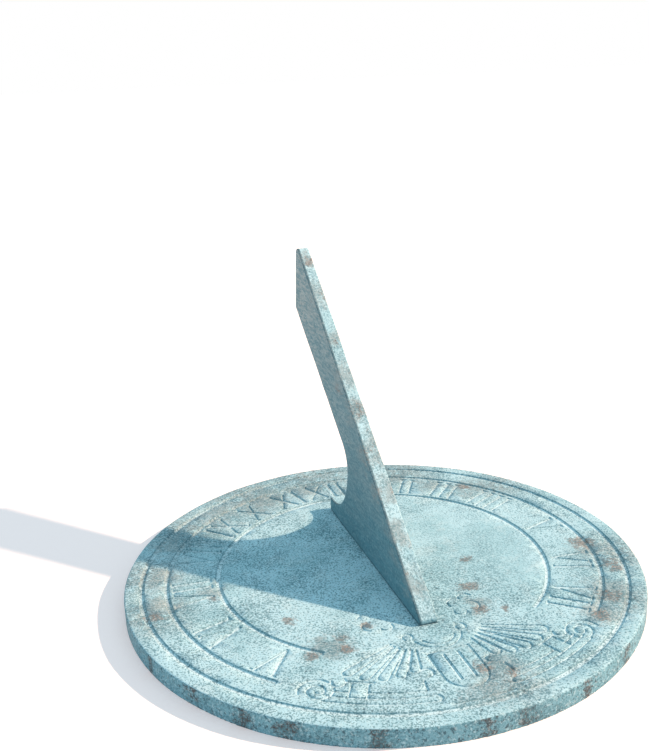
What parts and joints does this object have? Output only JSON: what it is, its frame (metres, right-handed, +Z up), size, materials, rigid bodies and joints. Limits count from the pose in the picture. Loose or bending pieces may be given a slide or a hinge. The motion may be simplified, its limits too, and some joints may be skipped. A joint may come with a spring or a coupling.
{
  "type": "garden sundial",
  "caption": "Horizontal garden sundial: round cast dial plate with an engraved chapter ring of hour numerals, and an upright gnomon with a sloping style edge screwed on from beneath.",
  "frame": {"origin": "centre of the dial plate's underside", "axes": "+Z up through the plate, +Y towards noon, where the style edge rises to, +X to the right of noon, the afternoon side"},
  "size_m": [0.254, 0.254, 0.1499],
  "materials": {
    "dial_plate": "weathered verdigris over cast brass",
    "gnomon": "weathered verdigris over cast brass",
    "screw": "dull brass",
    "lock_washer": "dull spring bronze"
  },
  "bodies": {
    "root": {"dial_plate": "dial_plate", "gnomon": "gnomon", "gnomon_screw_south": "screw", "gnomon_screw_north": "screw", "lock_washer_south": "lock_washer", "lock_washer_north": "lock_washer"}
  },
  "joints": []
}
